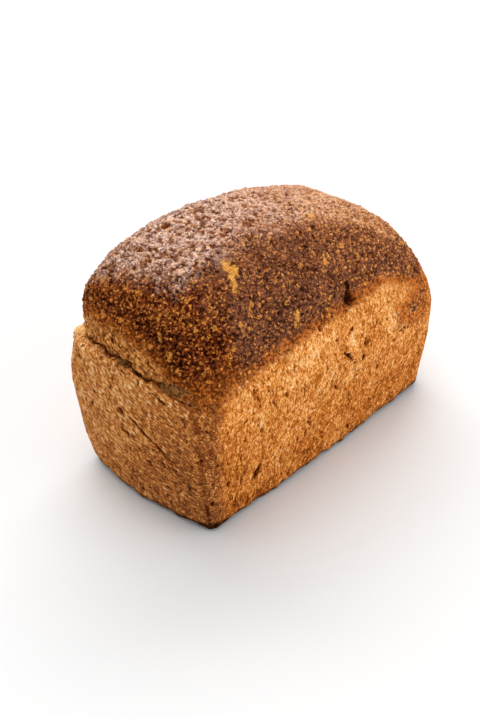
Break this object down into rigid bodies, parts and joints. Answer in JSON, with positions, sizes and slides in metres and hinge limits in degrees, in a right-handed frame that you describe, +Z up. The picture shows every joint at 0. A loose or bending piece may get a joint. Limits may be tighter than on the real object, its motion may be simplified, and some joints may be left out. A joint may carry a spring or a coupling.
{
  "type": "bread loaf",
  "caption": "Tin-baked spelt bread loaf with flared walls, an arched dark crust that leans to one side and a torn seam across one end.",
  "frame": {"origin": "middle of the bounding box's bottom, on the surface the loaf stands on", "axes": "+X along the loaf, away from the torn end; +Y across it, towards the side the crown leans to; +Z up"},
  "size_m": [0.2222, 0.1184, 0.1428],
  "materials": {
    "crust": "baked crust, golden tan and finely pored on the walls, dark brown and rough with bran flecks on the arched top"
  },
  "bodies": {
    "root": {"loaf": "crust"}
  },
  "joints": []
}
